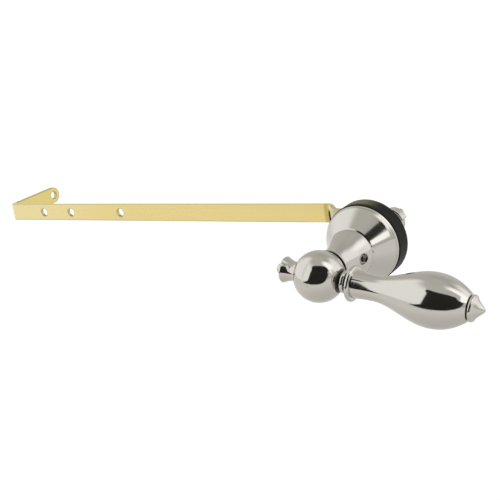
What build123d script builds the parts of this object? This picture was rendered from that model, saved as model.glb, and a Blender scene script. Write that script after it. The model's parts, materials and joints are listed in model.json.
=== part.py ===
"""Front-mounted cistern lever: turned handle, escutcheon with threaded shank, and folded strip arm.

Millimetres. The origin is the centre of the tank hole, on the tank's outer face. +Y goes into the
tank along the spindle, -Y points at the user, +X is the side of the handle and +Z is up.
"""
import os
from math import cos, radians, sin, sqrt

from build123d import *

# Clearances
RUN_FIT = 0.05        # spindle in the shank, on the radius
RUN_GAP = 0.3         # face to face between pieces that turn against each other
SLIP_FIT = 0.03       # screwed, pressed and keyed pieces, on the radius
LOOSE_FIT = 0.1       # gasket over the thread, on the radius

# Escutcheon: rim, cone and nose on the user's side
RIM_R = 18.4
RIM_LIP = 0.2
RIM_DEPTH = 3.2
RIM_CROWN = 12.0      # radius of the rim's faint outward curve
CONE_R = 16.7
CONE_NOSE_R = 11.4
CONE_DEPTH = 11.4
NOSE_CHAMFER = 0.6

# Gasket between the escutcheon and the tank
GASKET_PROUD = 0.4    # outside the rim, on the radius
GASKET_R = RIM_R + GASKET_PROUD
GASKET_T = 9.3
GASKET_ROUND = 0.9

# Escutcheon: threaded shank and its stop nose on the tank side
SHANK_R = 7.2         # at the root of the thread
THREAD_HEIGHT = 0.5
THREAD_LENGTH = 30.5
THREAD_CHAMFER = 0.6
STOP_NOSE_R = 6.2
STOP_NOSE_LENGTH = 5.5
STOP_DEPTH = 5.0

# Mounting nut, run up loosely behind the gasket
NUT_FLATS = 22.0
NUT_T = 5.5
NUT_GAP = 3.0
NUT_CHAMFER = 1.0

# Spindle, its stop pin and the tenon that carries the arm
SPINDLE_R = 4.0
SPINDLE_TIP = 4.4     # front end short of the ball's centre
FLAT_DEPTH = 0.8
FLAT_LENGTH = 9.0
TENON = 4.6
PEEN_R = 3.3
PEEN_T = 0.9
PEEN_ROUND = 0.5
PIN_R = 1.0
PIN_SEAT = 2.6        # depth of the pin in the spindle
PIN_REACH = 5.2       # outer end of the pin from the spindle's axis
PIN_SETBACK = 2.4     # pin axis ahead of the shank's end
TRAVEL = 35.0         # degrees from rest to the flush stop

# Hub: bell, bead and ball
BALL_R = 11.45
HUB_LENGTH = 30.0     # bell's base to ball centre
BELL_R = 11.0
BELL_BAND = 0.9
BELL_WAIST_R = 6.9
BELL_SLOPE = 0.30     # radius lost for each millimetre at the base
BEAD_R = 8.5
BEAD_HALF = 1.3
GROOVE_R = 7.4

# Set screw through the bell
SET_R = 2.5
SET_LENGTH = 5.4
SET_REACH = 5.8       # axis of the screw ahead of the bell's base
SET_ANGLE = -4.0
SET_SOCKET = 2.5      # across flats
SET_SOCKET_DEPTH = 2.4
SET_CHAMFER = 0.3

# Lever: neck, collar and teardrop, measured along its axis from the ball's centre
HANDLE_TILT = 9.35    # degrees below level
NECK_R = 4.5
NECK_GROOVE_R = 3.7
NECK_GROOVE = 0.55
NECK_BEAD_R = 4.95
NECK_BEAD_LENGTH = 2.6
COLLAR_R = 7.9
COLLAR_START = 15.2
COLLAR_T = 2.2
COLLAR_ROUND = 1.0
COLLAR_HOLLOW = 0.25  # length gained for each millimetre of radius, under the collar
WRIST_R = 5.65
WRIST_AT = 26.5
SHOULDER_R = 6.1
SHOULDER_SLOPE = -0.08
BELLY_R = 11.8
BELLY_AT = 53.0
LEVER_END = 68.6
LEVER_END_R = 5.8
LEVER_END_SLOPE = -0.85

# Tip finial
TIP_GROOVE_R = 5.0
TIP_GROOVE = 0.3
TIP_R = 5.75
TIP_RIM = 1.9
TIP_CONE_R = 5.1
TIP_CONE_FOOT = 0.6   # length gained for each millimetre of radius, next to the rim
TIP_CONE_SIDE = 1.0   # the same at the point
TIP_LENGTH = 6.6
TIP_POINT_R = 0.8
TIP_POINT_H = 0.35
TIP_STUD_R = 2.0
TIP_STUD_LENGTH = 7.0

# Knob on the far side of the ball
KNOB_NECK_R = 4.55
KNOB_NECK_SLOPE = -0.5
KNOB_WAIST_R = 4.35
KNOB_WAIST_SHARE = 0.25  # of the way from the ball to the widest place
KNOB_FLARE = 0.45
KNOB_R = 5.8
KNOB_AT = 16.4        # widest place, from the ball's centre
KNOB_BROW = 0.14      # slope just past the widest place
KNOB_NUB_R = 2.5
KNOB_NUB_SLOPE = -0.2
KNOB_END = 20.8

# Stud that ties knob, ball and lever together
STUD_R = 3.0
STUD_IN_KNOB = 4.5
STUD_IN_LEVER = 16.0

# Arm: strip folded at its far end, with chain holes
STRIP_W = 9.5
STRIP_T = 2.0
ARM_REACH = 260.2     # spindle axis to the outside of the far fold
FOOT_END = 3.8        # spindle axis to the strip's near end
FOOT_ROUND = 1.5
JOGGLE_AT = 39.8      # spindle axis to the outer bend of the joggle
JOGGLE = 8.0
JOGGLE_ANGLE = 50.0
JOGGLE_BEND = 3.5     # radius of the strip's middle
FOLD_BEND = 1.7       # radius of the strip's middle
TAB_LENGTH = 39.3
TAB_LEAN = 4.0        # degrees past square
HOLE_R = 2.4
TAB_HOLE_R = 2.3
HOLES_FROM_FOLD = (26.5, 47.4, 84.2)

# Places along the spindle
SEAT_Y = -GASKET_T
NOSE_Y = SEAT_Y - CONE_DEPTH
BELL_Y = NOSE_Y - RUN_GAP
BALL_Y = BELL_Y - HUB_LENGTH
THREAD_END_Y = SEAT_Y + THREAD_LENGTH
SHANK_END_Y = THREAD_END_Y + STOP_NOSE_LENGTH
ARM_Y = SHANK_END_Y + RUN_GAP
ARM_OUT_Y = ARM_Y + JOGGLE
PIN_Y = SHANK_END_Y - PIN_SETBACK
SET_Y = BELL_Y - SET_REACH
SPINDLE_FRONT_Y = BALL_Y + SPINDLE_TIP

# Frame of the handle: its local +Y is the lever's axis
TILT = radians(HANDLE_TILT)
HANDLE = Plane(origin=(0, BALL_Y, 0), x_dir=(0, -1, 0), z_dir=(sin(TILT), 0, cos(TILT)))


def turned(*edges):
    """Solid of revolution about the Y axis from a closed outline in radius and place along Y."""
    return revolve(make_face(edges), Axis.Y)


def rod(radius, start, end):
    """Round bar on the Y axis between two places."""
    return Plane(origin=(0, start, 0), z_dir=(0, 1, 0)) * Cylinder(
        radius, end - start, align=(Align.CENTER, Align.CENTER, Align.MIN)
    )


def radial_plane(y, angle, distance):
    """Plane that faces away from the spindle's axis, at a distance from it."""
    out = Vector(cos(radians(angle)), 0, sin(radians(angle)))
    return Plane(origin=Vector(0, y, 0) + out * distance, x_dir=(0, 1, 0), z_dir=out)


def radial_rod(radius, y, angle, start, end):
    """Round bar that points away from the spindle's axis, between two distances from it."""
    return radial_plane(y, angle, start) * Cylinder(
        radius, end - start, align=(Align.CENTER, Align.CENTER, Align.MIN)
    )


def sphere_place(radius):
    """Distance from the ball's centre to the circle of this radius on its surface."""
    return sqrt(BALL_R**2 - radius**2)


def make_gasket():
    """Thick rubber washer with rounded outer edges."""
    ring = rod(GASKET_R, SEAT_Y, 0)
    ring = fillet(ring.edges().filter_by(GeomType.CIRCLE), GASKET_ROUND)
    return ring - rod(SHANK_R + THREAD_HEIGHT + LOOSE_FIT, SEAT_Y, 0)


def stop_notch():
    """Sector cut in the shank's end, which the stop pin sweeps from rest to the flush stop."""
    half = PIN_R + RUN_GAP / 2
    floor_y = SHANK_END_Y - STOP_DEPTH
    reach = 2 * STOP_NOSE_R
    plane = Plane(origin=(0, floor_y, 0), x_dir=(1, 0, 0), z_dir=(0, -1, 0))
    slot = Pos(reach / 2, 0) * Rectangle(reach, 2 * half)
    sweep_end = Rot(0, 0, -TRAVEL) * slot
    far = reach / cos(radians(TRAVEL))
    between = make_face(Polyline(
        (0, 0), (reach, 0), (far * cos(radians(TRAVEL)), -far * sin(radians(TRAVEL))), close=True
    ))
    return extrude(plane * (slot + sweep_end + between), -STOP_DEPTH)


def make_escutcheon():
    """Rim, cone and threaded shank in one casting, bored for the spindle."""
    bore = SPINDLE_R + RUN_FIT
    rim_front = SEAT_Y - RIM_DEPTH
    body = turned(
        Polyline(
            (CONE_R, rim_front),
            (CONE_NOSE_R, NOSE_Y + NOSE_CHAMFER),
            (CONE_NOSE_R - NOSE_CHAMFER, NOSE_Y),
            (bore, NOSE_Y),
            (bore, SHANK_END_Y),
            (STOP_NOSE_R, SHANK_END_Y),
            (STOP_NOSE_R, THREAD_END_Y),
            (SHANK_R - THREAD_CHAMFER, THREAD_END_Y),
            (SHANK_R, THREAD_END_Y - THREAD_CHAMFER),
            (SHANK_R, SEAT_Y),
            (RIM_R, SEAT_Y),
            (RIM_R, SEAT_Y - RIM_LIP),
        ),
        RadiusArc((RIM_R, SEAT_Y - RIM_LIP), (CONE_R, rim_front), RIM_CROWN),
    )
    return body - stop_notch()


def make_nut():
    """Hexagon nut with chamfered corners on both faces."""
    start = NUT_GAP
    plane = Plane(origin=(0, start, 0), x_dir=(1, 0, 0), z_dir=(0, 1, 0))
    hexagon = extrude(plane * RegularPolygon(NUT_FLATS / 2, 6, major_radius=False), NUT_T)
    corner_r = NUT_FLATS / sqrt(3)
    blank = rod(corner_r, start, start + NUT_T)
    blank = chamfer(blank.edges().filter_by(GeomType.CIRCLE), NUT_CHAMFER / 2, NUT_CHAMFER)
    return (hexagon & blank) - rod(SHANK_R + SLIP_FIT, start, start + NUT_T)


def make_spindle():
    """Round bar with a flat for the set screw, a square tenon for the arm and a peened end."""
    bar = rod(SPINDLE_R, SPINDLE_FRONT_Y, ARM_Y)
    tenon = Pos(0, ARM_Y + STRIP_T / 2, 0) * Box(TENON, STRIP_T, TENON)
    peen = rod(PEEN_R, ARM_Y + STRIP_T, ARM_Y + STRIP_T + PEEN_T)
    peen = fillet(peen.edges().filter_by(GeomType.CIRCLE).sort_by(Axis.Y)[-1], PEEN_ROUND)
    flat = radial_plane(SET_Y, SET_ANGLE, SPINDLE_R - FLAT_DEPTH) * Box(
        FLAT_LENGTH, 2 * SPINDLE_R, 2 * FLAT_DEPTH, align=(Align.CENTER, Align.CENTER, Align.MIN)
    )
    pin_hole = radial_rod(PIN_R + SLIP_FIT, PIN_Y, 0, SPINDLE_R - PIN_SEAT - SLIP_FIT, 2 * SPINDLE_R)
    return bar + tenon + peen - flat - pin_hole


def make_stop_pin():
    """Pin pressed into the spindle, which rides in the shank's notch."""
    return radial_rod(PIN_R, PIN_Y, 0, SPINDLE_R - PIN_SEAT, PIN_REACH)


def hub_side_bore(radius, start, end):
    """Bore along the handle's axis."""
    return HANDLE * rod(radius, start, end)


def make_hub():
    """Ball, bead and bell in one casting, bored for the spindle, the stud and the set screw."""
    groove_y = BALL_Y + sphere_place(GROOVE_R)
    bead_y = groove_y + BEAD_HALF
    waist_y = bead_y + BEAD_HALF
    band_y = BELL_Y - BELL_BAND
    body = turned(
        ThreePointArc(
            (0, BALL_Y - BALL_R), (BALL_R, BALL_Y), (GROOVE_R, groove_y)
        ),
        ThreePointArc((GROOVE_R, groove_y), (BEAD_R, bead_y), (BELL_WAIST_R, waist_y)),
        Spline(
            (BELL_WAIST_R, waist_y), (BELL_R, band_y),
            tangents=[(0, 1), (BELL_SLOPE, 1)],
        ),
        Polyline((BELL_R, band_y), (BELL_R, BELL_Y), (0, BELL_Y), (0, BALL_Y - BALL_R)),
    )
    body -= rod(SPINDLE_R + SLIP_FIT, SPINDLE_FRONT_Y - RUN_GAP, BELL_Y)
    body -= radial_rod(SET_R + SLIP_FIT, SET_Y, SET_ANGLE, 0, 2 * BELL_R)
    body -= hub_side_bore(NECK_R + SLIP_FIT, sphere_place(NECK_R), 2 * BALL_R)
    body -= hub_side_bore(KNOB_NECK_R + SLIP_FIT, -2 * BALL_R, -sphere_place(KNOB_NECK_R))
    body -= hub_side_bore(STUD_R + SLIP_FIT, -2 * BALL_R, 2 * BALL_R)
    return body


def make_set_screw():
    """Grub screw with a hexagon socket, seated on the spindle's flat."""
    start = SPINDLE_R - FLAT_DEPTH
    end = start + SET_LENGTH
    screw = radial_rod(SET_R, SET_Y, SET_ANGLE, start, end)
    screw = chamfer(screw.edges().filter_by(GeomType.CIRCLE), SET_CHAMFER)
    mouth = radial_plane(SET_Y, SET_ANGLE, end)
    socket = extrude(mouth * RegularPolygon(SET_SOCKET / 2, 6, major_radius=False), -SET_SOCKET_DEPTH)
    return screw - socket


def make_lever():
    """Neck bead, collar and teardrop turned in one piece, bored at both ends."""
    start = sphere_place(NECK_R)
    bead_start = start + NECK_GROOVE
    bead_end = bead_start + NECK_BEAD_LENGTH
    collar_end = COLLAR_START + COLLAR_T
    body = turned(
        Polyline((0, start), (NECK_R, start), (NECK_GROOVE_R, bead_start)),
        ThreePointArc(
            (NECK_GROOVE_R, bead_start),
            (NECK_BEAD_R, (bead_start + bead_end) / 2),
            (NECK_GROOVE_R, bead_end),
        ),
        Spline(
            (NECK_GROOVE_R, bead_end), (COLLAR_R - COLLAR_ROUND, COLLAR_START),
            tangents=[(0, 1), (1, COLLAR_HOLLOW)],
        ),
        RadiusArc(
            (COLLAR_R - COLLAR_ROUND, COLLAR_START), (COLLAR_R, COLLAR_START + COLLAR_ROUND), -COLLAR_ROUND
        ),
        Line((COLLAR_R, COLLAR_START + COLLAR_ROUND), (COLLAR_R, collar_end - COLLAR_ROUND)),
        RadiusArc(
            (COLLAR_R, collar_end - COLLAR_ROUND), (COLLAR_R - COLLAR_ROUND, collar_end), -COLLAR_ROUND
        ),
        Line((COLLAR_R - COLLAR_ROUND, collar_end), (SHOULDER_R, collar_end)),
        Spline(
            (SHOULDER_R, collar_end), (WRIST_R, WRIST_AT), (BELLY_R, BELLY_AT), (LEVER_END_R, LEVER_END),
            tangents=[(SHOULDER_SLOPE, 1), (0, 1), (0, 1), (LEVER_END_SLOPE, 1)],
        ),
        Polyline((LEVER_END_R, LEVER_END), (0, LEVER_END), (0, start)),
    )
    body -= rod(STUD_R + SLIP_FIT, start, start + STUD_IN_LEVER + RUN_GAP)
    body -= rod(TIP_STUD_R + SLIP_FIT, LEVER_END - TIP_STUD_LENGTH - RUN_GAP, LEVER_END)
    return HANDLE * body


def make_tip():
    """Cap with a groove behind its rounded rim, a blunt cone and a short stud."""
    end = LEVER_END + TIP_LENGTH
    rim_start = LEVER_END + TIP_GROOVE
    rim_end = rim_start + TIP_RIM
    point_y = end - TIP_POINT_H
    point_round = (TIP_POINT_R**2 + TIP_POINT_H**2) / (2 * TIP_POINT_H)
    cap = turned(
        Polyline((0, LEVER_END), (TIP_GROOVE_R, LEVER_END), (TIP_GROOVE_R, rim_start)),
        ThreePointArc((TIP_GROOVE_R, rim_start), (TIP_R, (rim_start + rim_end) / 2), (TIP_CONE_R, rim_end)),
        Spline(
            (TIP_CONE_R, rim_end), (TIP_POINT_R, point_y),
            tangents=[(-1, TIP_CONE_FOOT), (-1, TIP_CONE_SIDE)],
        ),
        RadiusArc((TIP_POINT_R, point_y), (0, end), -point_round),
        Line((0, end), (0, LEVER_END)),
    )
    return HANDLE * (cap + rod(TIP_STUD_R, LEVER_END - TIP_STUD_LENGTH, LEVER_END))


def make_knob():
    """Small finial that balances the lever: waist, flared rim and rounded nub."""
    start = sphere_place(KNOB_NECK_R)
    waist_at = start + KNOB_WAIST_SHARE * (KNOB_AT - start)
    nub_at = KNOB_END - KNOB_NUB_R
    half = turned(
        Line((0, start), (KNOB_NECK_R, start)),
        Spline(
            (KNOB_NECK_R, start), (KNOB_WAIST_R, waist_at), (KNOB_R, KNOB_AT),
            tangents=[(KNOB_NECK_SLOPE, 1), (0, 1), (KNOB_FLARE, 1)],
        ),
        Spline(
            (KNOB_R, KNOB_AT), (KNOB_NUB_R, nub_at),
            tangents=[(KNOB_BROW, 1), (KNOB_NUB_SLOPE, 1)],
        ),
        RadiusArc((KNOB_NUB_R, nub_at), (0, KNOB_END), -KNOB_NUB_R),
        Line((0, KNOB_END), (0, start)),
    )
    half -= rod(STUD_R + SLIP_FIT, start, start + STUD_IN_KNOB + RUN_GAP)
    return HANDLE * (Rot(180, 0, 0) * half)


def make_stud():
    """Threaded rod through the ball, from the knob into the lever."""
    return HANDLE * rod(
        STUD_R, -sphere_place(KNOB_NECK_R) - STUD_IN_KNOB, sphere_place(NECK_R) + STUD_IN_LEVER
    )


def make_arm():
    """One strip: foot on the spindle, joggle, straight run, and a tab folded back at the far end."""
    mid = STRIP_T / 2
    foot_y = ARM_Y + mid
    run_y = ARM_OUT_Y + mid
    fold = Vector(mid - ARM_REACH, run_y)
    along = Vector(sin(radians(TAB_LEAN)), cos(radians(TAB_LEAN)))
    inward = Vector(along.Y, -along.X)
    tab_end = fold + along * (TAB_LENGTH - STRIP_W / 2 - mid)
    joggle_run = JOGGLE * cos(radians(JOGGLE_ANGLE)) / sin(radians(JOGGLE_ANGLE))
    path = FilletPolyline(
        (FOOT_END, foot_y), (joggle_run - JOGGLE_AT, foot_y), (-JOGGLE_AT, run_y), fold, tab_end,
        radius=[JOGGLE_BEND, JOGGLE_BEND, FOLD_BEND],
    )
    start = Plane(origin=(FOOT_END, foot_y, 0), x_dir=(0, 1, 0), z_dir=(-1, 0, 0))
    strip = sweep(start * Rectangle(STRIP_T, STRIP_W), path=path)
    strip = fillet(strip.edges().filter_by(Axis.Y).sort_by(Axis.X)[-2:], FOOT_ROUND)
    tab_plane = Plane(origin=tab_end - inward * mid, z_dir=inward)
    strip += extrude(tab_plane * Circle(STRIP_W / 2), STRIP_T)
    strip -= extrude(tab_plane * Circle(TAB_HOLE_R), STRIP_T)
    for distance in HOLES_FROM_FOLD:
        strip -= Pos(distance - ARM_REACH, 0, 0) * rod(HOLE_R, ARM_OUT_Y, ARM_OUT_Y + STRIP_T)
    square = TENON + 2 * SLIP_FIT
    return strip - Pos(0, foot_y, 0) * Box(square, STRIP_T, square)


PIECES = {
    "escutcheon": make_escutcheon,
    "gasket": make_gasket,
    "mounting_nut": make_nut,
    "spindle": make_spindle,
    "stop_pin": make_stop_pin,
    "handle_hub": make_hub,
    "hub_set_screw": make_set_screw,
    "lever_stud": make_stud,
    "lever": make_lever,
    "tip_finial": make_tip,
    "hub_knob": make_knob,
    "arm": make_arm,
}

os.makedirs("parts", exist_ok=True)
for node, make in PIECES.items():
    export_step(make(), f"parts/{node}.step")
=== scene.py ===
"""Looks of the cistern lever: finishes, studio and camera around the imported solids."""
import json
import math

import bpy
from mathutils import Matrix, Vector


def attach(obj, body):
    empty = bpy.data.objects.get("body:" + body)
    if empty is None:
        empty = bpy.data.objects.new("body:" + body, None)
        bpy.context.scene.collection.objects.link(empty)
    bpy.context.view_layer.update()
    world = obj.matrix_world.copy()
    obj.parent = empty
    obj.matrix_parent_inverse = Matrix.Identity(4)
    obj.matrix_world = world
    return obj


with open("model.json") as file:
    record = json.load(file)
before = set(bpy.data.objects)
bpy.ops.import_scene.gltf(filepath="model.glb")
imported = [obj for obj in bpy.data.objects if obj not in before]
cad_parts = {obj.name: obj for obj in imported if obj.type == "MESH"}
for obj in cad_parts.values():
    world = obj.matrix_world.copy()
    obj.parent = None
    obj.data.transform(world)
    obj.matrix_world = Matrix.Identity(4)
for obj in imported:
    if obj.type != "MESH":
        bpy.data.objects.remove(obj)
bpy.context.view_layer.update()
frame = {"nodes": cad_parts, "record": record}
nodes = frame["nodes"]

MM_PER_METRE = 1000.0
WHITE = (1, 1, 1, 1)
BALL = Vector((0, -0.051, 0))     # centre of the handle's ball, in metres

# Camera, in metres and degrees: azimuth is to the right of the front
CAMERA_PLACE = (0.25301, -0.46613, 0.16589)
CAMERA_AZIMUTH = 34.587
CAMERA_ELEVATION = 17.039
CAMERA_ROLL = 10.035
CAMERA_LENS = 85.86
CAMERA_SENSOR = 36.0
CAMERA_CLIP = (0.01, 60.0)

# Light tent: directions are azimuth from the front, positive to the right, and elevation, in degrees
TENT_BACK = (0.54, 0.53, 0.505, 1)
TENT_CEILING = (0.60, 0.60, 0.545, 1)
CEILING_FROM = (55, 72)
ALL_ROUND = (-300, 300)
TENT_PANELS = (
    {"azimuth": ALL_ROUND, "elevation": (4, 36), "shade": (0.64, 0.635, 0.605, 1)},
    {"azimuth": (-152, -118), "elevation": (-20, 64), "shade": (0.60, 0.585, 0.55, 1)},
    {"azimuth": (104, 156), "elevation": (-40, 46), "shade": (1.14, 1.13, 1.12, 1)},
    {"azimuth": (-120, -10), "elevation": (-20, 65), "shade": (1.07, 1.075, 1.05, 1)},
    {"azimuth": (80, 117), "elevation": (24, 67), "shade": (1.47, 1.47, 1.46, 1)},
)
PANEL_EDGE = 11.0

# Mouth of the tent: its distance from the ball, in metres, then its middle and outline, as directions
MOUTH_REACH = 0.60
MOUTH_MIDDLE = (32, 26)
MOUTH = (
    (-46, -7), (-28, -10), (-9, -13), (15, -14.5), (32, -14.5), (46, -10), (55, -4), (63, 5),
    (72, 16), (80, 26), (84, 36), (83, 46), (74, 55), (52, 62), (28, 66), (8, 66),
    (-13, 63), (-18, 57), (-9, 49), (-11, 40), (-15, 22), (-18.7, 10), (-22, 2), (-27, -5.5),
)
MOUTH_SHADE = (0.021, 0.020, 0.017, 1)

# Bounce card: both ends of its foot in X and Y, and its lower and upper edge, in metres
CARD_FOOT = ((0.161, -0.094), (0.209, -0.050))
CARD_HEIGHTS = (0.033, 0.088)
CARD_SHADE = (1.47, 1.47, 1.46, 1)

# Visors: front and back edge of each, in millimetres
VISORS = {
    "lever_visor": {
        "front": (
            (48, -70, 22), (56, -72, 21), (64, -72, 19), (71, -70, 17),
            (78, -67, 14), (83, -64, 11), (87, -67, 4),
        ),
        "back": (
            (46, -56, 31), (55, -60, 30), (60, -62, 28), (65, -61, 26),
            (69, -60, 23), (74, -57, 18), (85, -55, 11),
        ),
        "shade": (0.62, 0.62, 0.59, 1),
    },
    "knob_visor": {
        "front": (
            (-6.6, -61.4, 21.1), (-6.3, -62.5, 20.3), (-6.3, -64.4, 18.8),
            (-7.8, -68.6, 15.2), (-11.3, -72.5, 8.7), (-14.8, -73.2, 4.3),
        ),
        "back": (
            (-6.4, -59.2, 21.8), (-8.1, -60.8, 21.8), (-10.6, -63.1, 20.9),
            (-13.1, -66.8, 18.0), (-15.5, -70.7, 12.2), (-16.9, -72.2, 7.0),
        ),
        "shade": (0.92, 0.92, 0.89, 1),
    },
}

# Floor, in metres: the camera sees one tone, and metal sees another with a painted shadow under the
# lever
FLOOR_PLACE = (0.03, -0.05, -0.16)
FLOOR_R = 14.0
FLOOR_SEEN = (0.87, 0.875, 0.895, 1)
FLOOR_LIFT = 0.36
FLOOR_MIRRORED = (0.92, 0.912, 0.915, 1)
FLOOR_SHADOW_TONE = (0.73, 0.715, 0.715, 1)
FLOOR_SHADOW_R = 0.36
FLOOR_GLOW = 0.08

# Plated finish: tones, its least roughness and what adds to it
NICKEL_WARM = (0.658, 0.638, 0.596, 1)
NICKEL_GREY = (0.632, 0.616, 0.577, 1)
NICKEL_ROUGH = 0.055
HAZE_ROUGH = 0.05
CLOUD_ROUGH = 0.03
# Painted shade for the turned grooves: its tone and the roughness it adds
GROOVE_SHADE_TONE = (0.018, 0.016, 0.013, 1)
GROOVE_SHADE_ROUGH = 0.3

# Painted shade in the turned grooves, by node: an axis through the ball's centre, then a place along
# it, a half width and the reach from that centre, in millimetres, and how dark it is
HANDLE_TILT = math.radians(9.35)
SPINDLE_WAY = (0, 1, 0)
HANDLE_WAY = (math.cos(HANDLE_TILT), 0, -math.sin(HANDLE_TILT))
GROOVES = {
    "escutcheon": ((SPINDLE_WAY, 40.45, 0.22, 60, 0.3),),
    "handle_hub": (
        (SPINDLE_WAY, 8.90, 0.75, 20, 1.0),
        (SPINDLE_WAY, 11.34, 0.55, 20, 1.0),
        (HANDLE_WAY, 10.40, 0.32, 12, 0.85),
    ),
    "lever": ((HANDLE_WAY, 10.65, 0.30, 20, 1.0), (HANDLE_WAY, 14.10, 0.85, 20, 1.0)),
    "tip_finial": ((HANDLE_WAY, 68.75, 0.18, 80, 1.0),),
}
GROOVE_FULL = 0.5     # share of the half width that is darkest
GROOVE_NONE = 1.3     # share of the half width where the residue ends
REACH_FADE = 0.5      # millimetres past the reach over which it ends

# Strip brass: tones, some of them painted shade, how strong some of them are, roughness, and the scale
# of its grain along X, Y and Z
BRASS_PALE = (1.0, 0.847, 0.415, 1)
BRASS_DEEP = (0.985, 0.81, 0.352, 1)
BRASS_LINE = (0.905, 0.72, 0.286, 1)
BRASS_END = (1.0, 0.865, 0.45, 1)
BRASS_TAB_SHADE = (0.893, 0.748, 0.279, 1)
BRASS_CUT_SHADE = (0.42, 0.37, 0.18, 1)
BRASS_WARM = (0.97, 0.78, 0.32, 1)
BRASS_BEND_SHADE = (0.60, 0.46, 0.13, 1)
BRASS_FOOT_SHADE = (0.58, 0.52, 0.34, 1)
BRASS_GAP_SHADOW = (0.03, 0.022, 0.01, 1)
LINE_SHARE = 0.55
WARM_SHARE = 0.6
BEND_SHARE = 0.8
FOOT_SHARE = 0.75
STRIP_ROUGH = 0.19
LINE_ROUGH = 0.11
GAP_SHADOW_ROUGH = 0.2
LINE_GRAIN = (0.012, 1, 1)
CLOUD_GRAIN = (0.05, 0.3, 0.3)
GAP_SHADOW_GRAIN = (0, 0, 0.35)

# Arm's joggle, in millimetres: spans along X where the strip turns warmer and where its foot gets
# painted shade, and a line of painted shade in the bend and a painted shadow line in its gap, each with
# its place, its full and its faded half width
BEND_WARM = (-58.0, -46.0)
FOOT_SHADE_FROM = (-39.6, -37.6)
BEND_SHADE_LINE = (-42.1, 0.2, 2.3)
GAP_SHADOW_LINE = (-40.3, 0.5175, 1.15)
GAP_SHADOW_TOP = (0.5, 3.0)
GAP_SHADOW_WANDER = 0.7

# Arm's far end, in millimetres: where it turns paler along X, where the tab and its painted shade start
# along Y, and the punched holes, the sheared edges and the fold, which get painted shade
END_PALE = (-245.0, -170.0)
TAB_FROM = (38.0, 39.5)
TAB_END_Y = 69.47
TAB_HOLE_R = 2.3
CHAIN_HOLES = (-233.7, -212.8, -176.0)
CHAIN_HOLE_R = 2.4
HOLE_RIM = (0.1, 0.5)        # out from a hole's wall: up to where it is dullest, and where that ends
HOLE_SHARE = 0.75
STRIP_HALF = 4.75
EDGE_RIM = (0.7, 0.2)        # in from a sheared edge: where it starts, and from where it is dullest
EDGE_SHARE = 0.55
LOWER_EDGE = (-1.0, 1.0)     # heights between which the shaded lower half passes to the unshaded upper half
FOLD_SHADE_SPAN = (-260.0, -259.5)
FOLD_SHARE = 0.5

# Plainer finishes: tones and roughness
TURNED_LIGHT = (0.84, 0.70, 0.38, 1)
TURNED_DARK = (0.74, 0.60, 0.30, 1)
TURNED_ROUGH = 0.22
RING_ROUGH = 0.16
RING_GRAIN = (0.03, 3, 0.03)
STEEL_LIGHT = (0.46, 0.45, 0.44, 1)
STEEL_DARK = (0.34, 0.335, 0.33, 1)
STEEL_ROUGH = 0.26
STEEL_GRAIN_ROUGH = 0.2
RUBBER_BLACK = (0.006, 0.006, 0.005, 1)
RUBBER_BLOOM = (0.011, 0.011, 0.009, 1)
RUBBER_HIGHLIGHT = (0.165, 0.163, 0.085, 1)
RUBBER_SHEEN = (0.95, 0.95, 0.85, 1)
RUBBER_SHINE = 0.12
RUBBER_ROUGH = 0.40
TOOTH_ROUGH = 0.14

# Painted highlight on the gasket, in millimetres: it lies towards the top, the left and the tank
HIGHLIGHT_UP = (13.5, 18.5)
HIGHLIGHT_RIGHT = (0.0, 10.5)
HIGHLIGHT_BACK = (-8.8, -5.5)

# Thread on the shank, in millimetres: its profile is in pitches along and in heights up
THREAD_ROOT_R = 7.2
THREAD_CREST_R = 7.7
THREAD_PITCH = 1.27
THREAD_START_Y = 0.3
THREAD_END_Y = 20.5
THREAD_PROFILE = ((-0.46, 0.0), (-0.12, 1.0), (0.12, 1.0), (0.46, 0.0), (0.0, -0.3))
THREAD_RUNOUT = 0.5     # turns over which each end tapers
THREAD_CREASE = math.radians(30)


class Wire:
    """A number in a node tree, on which arithmetic adds Math nodes."""

    def __init__(self, board, socket):
        self.board = board
        self.socket = socket

    def __add__(self, other):
        return self.board.math("ADD", self, other)

    def __radd__(self, other):
        return self.board.math("ADD", other, self)

    def __sub__(self, other):
        return self.board.math("SUBTRACT", self, other)

    def __rsub__(self, other):
        return self.board.math("SUBTRACT", other, self)

    def __mul__(self, other):
        return self.board.math("MULTIPLY", self, other)

    def __rmul__(self, other):
        return self.board.math("MULTIPLY", other, self)

    def __neg__(self):
        return self.board.math("MULTIPLY", self, -1.0)


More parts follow.
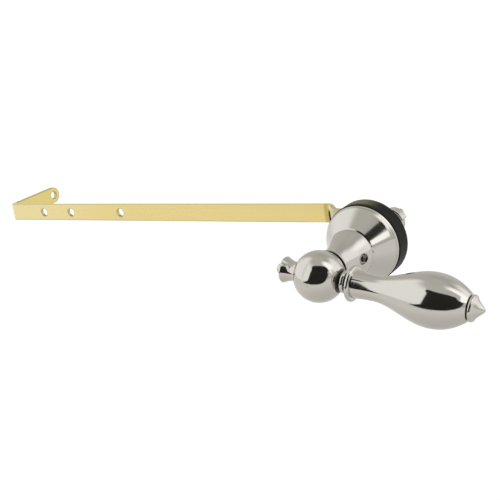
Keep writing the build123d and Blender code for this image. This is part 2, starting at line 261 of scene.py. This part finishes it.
class Board:
    """Adds nodes to one node tree."""

    def __init__(self, tree):
        self.tree = tree
        tree.nodes.clear()

    def add(self, kind, settings=None, sockets=None, out=0):
        """One node, with its settings, then the values or links of its sockets."""
        node = self.tree.nodes.new(kind)
        for name, value in (settings or {}).items():
            setattr(node, name, value)
        for key, value in (sockets or {}).items():
            if isinstance(value, Wire):
                self.tree.links.new(value.socket, node.inputs[key])
            else:
                node.inputs[key].default_value = value
        return Wire(self, node.outputs[out]) if node.outputs else None

    def math(self, operation, *values):
        """A Math node on numbers."""
        return self.add("ShaderNodeMath", {"operation": operation}, dict(enumerate(values)))

    def vector(self, operation, *values, out=0):
        """A Vector Math node, whose output called Value is a number."""
        return self.add("ShaderNodeVectorMath", {"operation": operation}, dict(enumerate(values)), out)

    def ramp(self, value, low, high):
        """0 below low, 1 above high, eased between."""
        return self.add(
            "ShaderNodeMapRange", {"interpolation_type": "SMOOTHSTEP"},
            {"Value": value, "From Min": low, "From Max": high},
        )

    def near(self, value, place, full, none):
        """1 within full of a place, 0 beyond none, eased between."""
        return 1 - self.ramp(self.math("ABSOLUTE", value - place), full, none)

    def blend(self, share, a, b):
        """Colour a where share is 0, colour b where it is 1."""
        return self.add("ShaderNodeMix", {"data_type": "RGBA"}, {0: share, 6: a, 7: b}, out=2)

    def place(self, scale=(1, 1, 1)):
        """Place on the piece, in millimetres times scale along each axis."""
        here = self.add("ShaderNodeTexCoord", out="Object")
        return self.vector("MULTIPLY", here, tuple(MM_PER_METRE * s for s in scale))

    def split(self, vector):
        """The three numbers of a vector."""
        parts = self.add("ShaderNodeSeparateXYZ", sockets={0: vector}).socket.node.outputs
        return [Wire(self, socket) for socket in parts]

    def noise(self, vector, scale, detail=3.0, roughness=0.5):
        """Soft noise from 0 to 1."""
        sockets = {"Vector": vector, "Scale": scale, "Detail": detail, "Roughness": roughness}
        return self.add("ShaderNodeTexNoise", sockets=sockets, out="Fac")

    def bump(self, height, strength, depth):
        """Normal of a relief, its depth in millimetres."""
        sockets = {"Strength": strength, "Distance": depth / MM_PER_METRE, "Height": height}
        return self.add("ShaderNodeBump", sockets=sockets)


def new_material(name):
    """An empty material and the board that fills it."""
    material = bpy.data.materials.new(name)
    material.use_nodes = True
    return material, Board(material.node_tree)


def finish_of(name, build, *details):
    """A material whose Principled sockets come from build(board, *details)."""
    material, board = new_material(name)
    shader = board.add("ShaderNodeBsdfPrincipled", sockets=build(board, *details))
    board.add("ShaderNodeOutputMaterial", sockets={"Surface": shader})
    return material


def groove_shade(board, grooves):
    """How much painted shade the grooves get, 0 away from them."""
    here = board.add("ShaderNodeTexCoord", out="Object")
    reach = board.vector("SUBTRACT", here, BALL)
    away = MM_PER_METRE * board.vector("LENGTH", reach, out="Value")
    share = 0.0
    for way, place, half, limit, depth in grooves:
        along = MM_PER_METRE * board.vector("DOT_PRODUCT", reach, way, out="Value")
        line = board.near(along, place, GROOVE_FULL * half, GROOVE_NONE * half)
        within = 1 - board.ramp(away, limit, limit + REACH_FADE)
        share = share + depth * within * line
    return share


def polished_nickel(board, grooves=()):
    """Buffed plate: warm grey mirror with a faint haze, and painted shade in its turned grooves."""
    spot = board.place()
    cloud = board.noise(spot, scale=0.11, detail=2)
    haze = board.noise(spot, scale=1.7, detail=4, roughness=0.6)
    colour = board.blend(cloud, NICKEL_WARM, NICKEL_GREY)
    roughness = NICKEL_ROUGH + HAZE_ROUGH * haze + CLOUD_ROUGH * cloud
    if grooves:
        # Painted shade darkens the turned grooves
        share = groove_shade(board, grooves)
        colour = board.blend(share, colour, GROOVE_SHADE_TONE)
        roughness = roughness + GROOVE_SHADE_ROUGH * share
    return {"Base Color": colour, "Metallic": 1.0, "Roughness": roughness}


def cut_edge_shade(board, x, y, z, tab):
    """How much painted shade the strip gets at its punched holes, its sheared edges and its fold, 0 away
    from them.
    """
    # Each hole: the axes that lie across it, its middle and its radius
    holes = [((1, 0, 1), (place, 0, 0), CHAIN_HOLE_R) for place in CHAIN_HOLES]
    holes.append(((0, 1, 1), (0, TAB_END_Y, 0), TAB_HOLE_R))
    share = FOLD_SHARE * (1 - board.ramp(x, *FOLD_SHADE_SPAN))
    for flat, middle, radius in holes:
        gap = board.vector("DISTANCE", board.place(flat), middle, out="Value")
        share = share + HOLE_SHARE * (1 - board.ramp(gap, radius + HOLE_RIM[0], radius + HOLE_RIM[1]))
    past = board.math("MAXIMUM", y - TAB_END_Y, 0.0)
    reach = board.math("SQRT", past * past + z * z)
    edge = board.ramp(reach, STRIP_HALF - EDGE_RIM[0], STRIP_HALF - EDGE_RIM[1])
    low_or_tab = board.math("MAXIMUM", tab, 1 - board.ramp(z, *LOWER_EDGE))
    return share + EDGE_SHARE * low_or_tab * edge


def rolled_brass(board):
    """Strip with rolling lines along its length, painted shade at its cuts, tab, bend and foot, and a
    painted shadow line in the joggle.
    """
    streak = board.noise(board.place(LINE_GRAIN), scale=1.4, detail=5, roughness=0.6)
    cloud = board.noise(board.place(CLOUD_GRAIN), scale=1.0)
    x, y, z = board.split(board.place())
    tab = board.ramp(y, *TAB_FROM)
    # Painted shadow line in the joggle's gap, wavering along X and fading towards the top
    wander = GAP_SHADOW_WANDER * (board.noise(board.place(GAP_SHADOW_GRAIN), scale=1.0, detail=2) - 0.5)
    gap_shadow = board.near(x + wander, *GAP_SHADOW_LINE) * (1 - board.ramp(z, *GAP_SHADOW_TOP))
    layers = (
        (cloud, BRASS_DEEP),
        (LINE_SHARE * streak, BRASS_LINE),
        (1 - board.ramp(x, *END_PALE), BRASS_END),
        # Painted shade on the tab, which faces the strip's back, and at the cut edges
        (tab, BRASS_TAB_SHADE),
        (cut_edge_shade(board, x, y, z, tab), BRASS_CUT_SHADE),
        (WARM_SHARE * board.ramp(x, *BEND_WARM), BRASS_WARM),
        # Painted shade in the bend and on the foot, then the painted shadow line
        (BEND_SHARE * board.near(x, *BEND_SHADE_LINE), BRASS_BEND_SHADE),
        (FOOT_SHARE * board.ramp(x, *FOOT_SHADE_FROM), BRASS_FOOT_SHADE),
        (gap_shadow, BRASS_GAP_SHADOW),
    )
    tone = BRASS_PALE
    for share, colour in layers:
        tone = board.blend(share, tone, colour)
    return {
        "Base Color": tone,
        "Metallic": 1.0,
        "Roughness": STRIP_ROUGH + LINE_ROUGH * streak + GAP_SHADOW_ROUGH * gap_shadow,
        "Normal": board.bump(streak, strength=0.12, depth=0.04),
    }


def turned_brass(board):
    """Plain brass with fine tool rings round the spindle's axis."""
    rings = board.noise(board.place(RING_GRAIN), scale=2.0, detail=4, roughness=0.6)
    return {
        "Base Color": board.blend(rings, TURNED_LIGHT, TURNED_DARK),
        "Metallic": 1.0,
        "Roughness": TURNED_ROUGH + RING_ROUGH * rings,
        "Normal": board.bump(rings, strength=0.2, depth=0.05),
    }


def plain_steel(board):
    """Stainless steel with a fine uneven grain."""
    grain = board.noise(board.place(), scale=3.0, detail=5, roughness=0.65)
    return {
        "Base Color": board.blend(grain, STEEL_LIGHT, STEEL_DARK),
        "Metallic": 1.0,
        "Roughness": STEEL_ROUGH + STEEL_GRAIN_ROUGH * grain,
    }


def black_rubber(board):
    """Moulded rubber with a fine tooth, a faint bloom and a painted olive highlight on its top."""
    spot = board.place()
    tooth = board.noise(spot, scale=4.5, detail=4, roughness=0.6)
    bloom = board.noise(spot, scale=0.14)
    x, y, z = board.split(spot)
    # Painted olive highlight towards the top, the left and the tank
    painted_highlight = board.ramp(z, *HIGHLIGHT_UP) * (1 - board.ramp(x, *HIGHLIGHT_RIGHT)) * board.ramp(y, *HIGHLIGHT_BACK)
    black = board.blend(bloom, RUBBER_BLACK, RUBBER_BLOOM)
    return {
        "Base Color": board.blend(painted_highlight, black, RUBBER_HIGHLIGHT),
        "Roughness": RUBBER_ROUGH + TOOTH_ROUGH * tooth,
        "Specular IOR Level": RUBBER_SHINE,
        "Specular Tint": RUBBER_SHEEN,
        "Normal": board.bump(tooth, strength=0.2, depth=0.05),
    }


FINISHES = {
    "polished_nickel": polished_nickel,
    "brass_strip": rolled_brass,
    "turned_brass": turned_brass,
    "plain_steel": plain_steel,
    "black_rubber": black_rubber,
}


def dress_nodes():
    """Gives each node the finish of its slot in the record, with its own grooves where it has any."""
    made = {slot: finish_of(slot, build) for slot, build in FINISHES.items()}
    for node, grooves in GROOVES.items():
        made[node] = finish_of(f"polished_nickel_{node}", polished_nickel, grooves)
    for part in frame["record"]["subparts"]:
        mesh = nodes[part["node"]].data
        mesh.materials.clear()
        mesh.materials.append(made.get(part["node"], made[part["material_slot"]]))
        mesh.polygons.foreach_set("use_smooth", [True] * len(mesh.polygons))


def metres(points):
    """Points in metres, from millimetres."""
    return [Vector(point) / MM_PER_METRE for point in points]


def new_object(name, points, faces):
    """A mesh object in the scene, its points in metres."""
    mesh = bpy.data.meshes.new(name)
    mesh.from_pydata(points, [], faces)
    piece = bpy.data.objects.new(name, mesh)
    bpy.context.scene.collection.objects.link(piece)
    return piece


def build_thread(segments=72):
    """Raised thread on the shank: one ridge that winds along it, tapered at both ends."""
    height = THREAD_CREST_R - THREAD_ROOT_R
    length = THREAD_END_Y - THREAD_START_Y
    steps = round(length / THREAD_PITCH * segments)
    runout = THREAD_RUNOUT * segments
    points = []
    for i in range(steps + 1):
        angle = math.tau * i / segments
        taper = min(1.0, i / runout, (steps - i) / runout)
        for along, up in THREAD_PROFILE:
            radius = THREAD_ROOT_R + height * (up * taper if up > 0 else up)
            y = THREAD_START_Y + length * i / steps + THREAD_PITCH * along
            points.append((radius * math.sin(angle), y, radius * math.cos(angle)))
    row = len(THREAD_PROFILE)
    faces = [
        (i * row + j, i * row + (j + 1) % row, (i + 1) * row + (j + 1) % row, (i + 1) * row + j)
        for i in range(steps) for j in range(row)
    ]
    faces += [tuple(reversed(range(row))), tuple(range(steps * row, steps * row + row))]
    thread = new_object("shank_thread", metres(points), faces)
    thread.data.polygons.foreach_set("use_smooth", [True] * len(faces))
    thread.data.set_sharp_from_angle(angle=THREAD_CREASE)
    thread.data.materials.append(nodes["escutcheon"].data.materials[0])
    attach(thread, "mounting")


def heading(azimuth, elevation):
    """Unit vector for an azimuth from the front, positive to the right, and an elevation."""
    a = math.radians(azimuth)
    e = math.radians(elevation)
    return Vector((math.sin(a) * math.cos(e), -math.cos(a) * math.cos(e), math.sin(e)))


def glow_card(name, points, faces, shade):
    """Plain studio card that shows only in polished metal."""
    card = new_object(name, points, faces)
    material, board = new_material(name)
    glow = board.add("ShaderNodeEmission", sockets={"Color": shade})
    board.add("ShaderNodeOutputMaterial", sockets={"Surface": glow})
    card.data.materials.append(material)
    card.visible_camera = False
    card.visible_diffuse = False
    card.visible_shadow = False


def build_mouth(rings=12, splits=6):
    """Dark mouth of the light tent, round the camera's place: rings that grow from its middle."""
    middle = Vector(MOUTH_MIDDLE)
    edge = []
    for here, after in zip(MOUTH, MOUTH[1:] + MOUTH[:1]):
        edge += [Vector(here).lerp(Vector(after), k / splits) for k in range(splits)]
    count = len(edge)
    points = [
        BALL + MOUTH_REACH * heading(*middle.lerp(corner, (i + 1) / rings))
        for i in range(rings) for corner in edge
    ]
    points.append(BALL + MOUTH_REACH * heading(*middle))
    faces = [(len(points) - 1, j, (j + 1) % count) for j in range(count)]
    for i in range(rings - 1):
        for j in range(count):
            k = (j + 1) % count
            faces.append((i * count + j, (i + 1) * count + j, (i + 1) * count + k, i * count + k))
    glow_card("tent_mouth", points, faces, MOUTH_SHADE)


def build_bounce_card():
    """Small white card to the right of the lever."""
    (x0, y0), (x1, y1) = CARD_FOOT
    low, high = CARD_HEIGHTS
    points = [(x0, y0, low), (x1, y1, low), (x1, y1, high), (x0, y0, high)]
    glow_card("bounce_card", points, [(0, 1, 2, 3)], CARD_SHADE)


def build_visors():
    """Narrow pale strips, one close above the lever's end and one before the knob."""
    for name, visor in VISORS.items():
        count = len(visor["front"])
        faces = [(i, i + 1, count + i + 1, count + i) for i in range(count - 1)]
        glow_card(name, metres(visor["front"] + visor["back"]), faces, visor["shade"])


def build_floor(sides=96):
    """Plain pale floor, lifted to white where the camera sees it, with the object's shadow kept."""
    turns = [math.tau * i / sides for i in range(sides)]
    ring = [(FLOOR_R * math.cos(turn), FLOOR_R * math.sin(turn), 0) for turn in turns]
    floor = new_object("floor", ring, [tuple(range(sides))])
    floor.location = FLOOR_PLACE
    material, board = new_material("pale_floor")
    here = board.add("ShaderNodeTexCoord", out="Object")
    reach = board.vector("LENGTH", here, out="Value")
    # Painted shadow under the lever, in the tone that every ray but the camera's sees
    shadowed_tone = board.blend(board.ramp(reach, 0.0, FLOOR_SHADOW_R), FLOOR_SHADOW_TONE, FLOOR_MIRRORED)
    matt = board.add("ShaderNodeBsdfDiffuse", sockets={"Color": shadowed_tone})
    glow = board.add("ShaderNodeEmission", sockets={"Color": shadowed_tone, "Strength": FLOOR_GLOW})
    mirrored = board.add("ShaderNodeAddShader", sockets={0: matt, 1: glow})
    pale = board.add("ShaderNodeBsdfDiffuse", sockets={"Color": FLOOR_SEEN})
    lift = board.add("ShaderNodeEmission", sockets={"Color": WHITE, "Strength": FLOOR_LIFT})
    lifted = board.add("ShaderNodeAddShader", sockets={0: pale, 1: lift})
    seen = board.add("ShaderNodeLightPath", out="Is Camera Ray")
    both = board.add("ShaderNodeMixShader", sockets={0: seen, 1: mirrored, 2: lifted})
    board.add("ShaderNodeOutputMaterial", sockets={"Surface": both})
    floor.data.materials.append(material)


def build_world():
    """Light tent: pale panels on a duller back and ceiling, and white for the camera."""
    world = bpy.data.worlds.new("light_tent")
    world.use_nodes = True
    board = Board(world.node_tree)
    x, y, z = board.split(board.add("ShaderNodeTexCoord", out="Generated"))
    azimuth = math.degrees(1) * board.math("ARCTAN2", x, -y)
    elevation = math.degrees(1) * board.math("ARCSINE", z)

    def band(value, low, high):
        rise = board.ramp(value, low - PANEL_EDGE, low + PANEL_EDGE)
        fall = board.ramp(value, high - PANEL_EDGE, high + PANEL_EDGE)
        return rise * (1 - fall)

    shade = board.blend(board.ramp(elevation, *CEILING_FROM), TENT_BACK, TENT_CEILING)
    for panel in TENT_PANELS:
        share = band(azimuth, *panel["azimuth"]) * band(elevation, *panel["elevation"])
        shade = board.blend(share, shade, panel["shade"])
    tent = board.add("ShaderNodeBackground", sockets={"Color": shade})
    white = board.add("ShaderNodeBackground", sockets={"Color": WHITE})
    seen = board.add("ShaderNodeLightPath", out="Is Camera Ray")
    both = board.add("ShaderNodeMixShader", sockets={0: seen, 1: tent, 2: white})
    board.add("ShaderNodeOutputWorld", sockets={"Surface": both})
    bpy.context.scene.world = world


def build_camera():
    """Camera at the photograph's place, turned by azimuth, elevation and roll."""
    data = bpy.data.cameras.new("camera")
    data.lens = CAMERA_LENS
    data.sensor_fit = "HORIZONTAL"
    data.sensor_width = CAMERA_SENSOR
    data.clip_start, data.clip_end = CAMERA_CLIP
    camera = bpy.data.objects.new("camera", data)
    turn = Matrix.Rotation(math.radians(CAMERA_AZIMUTH), 4, "Z")
    tip = Matrix.Rotation(math.radians(90 - CAMERA_ELEVATION), 4, "X")
    roll = Matrix.Rotation(math.radians(-CAMERA_ROLL), 4, "Z")
    camera.matrix_world = Matrix.Translation(CAMERA_PLACE) @ turn @ tip @ roll
    bpy.context.scene.collection.objects.link(camera)
    bpy.context.scene.camera = camera


dress_nodes()
# The strip's yellow glint stays off the plated pieces
nodes["arm"].visible_glossy = False
build_thread()
build_mouth()
build_bounce_card()
build_visors()
build_floor()
build_world()
build_camera()
bpy.context.scene.view_settings.view_transform = "Standard"
